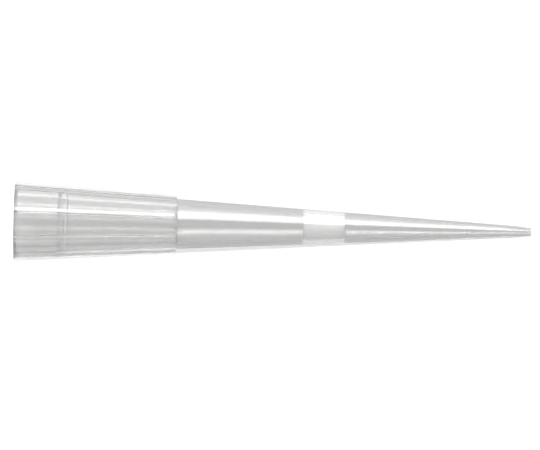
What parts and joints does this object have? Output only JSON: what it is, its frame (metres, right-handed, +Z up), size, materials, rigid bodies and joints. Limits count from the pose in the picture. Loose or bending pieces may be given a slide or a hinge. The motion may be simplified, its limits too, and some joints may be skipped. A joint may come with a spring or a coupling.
{
  "type": "pipette tip",
  "caption": "Filtered pipette tip: a clear tapered tube with a ribbed collar and socket at the wide end, a white porous plug in its bore and a fine orifice.",
  "frame": {"origin": "middle of the tip's box in X and Y, on the surface that the tip lies on", "axes": "+X along the tip from the collar's rim towards the orifice, +Z up; the tip lies on two of its ribs and its nozzle, so its own axis dips 3.8 degrees towards the orifice"},
  "size_m": [0.0512, 0.0074, 0.0075],
  "materials": {
    "clear_polypropylene": "smooth moulded polypropylene, clear and slightly milky",
    "porous_polyethylene": "matt white sintered grains"
  },
  "bodies": {
    "root": {"tip_body": "clear_polypropylene", "filter_plug": "porous_polyethylene"}
  },
  "joints": []
}
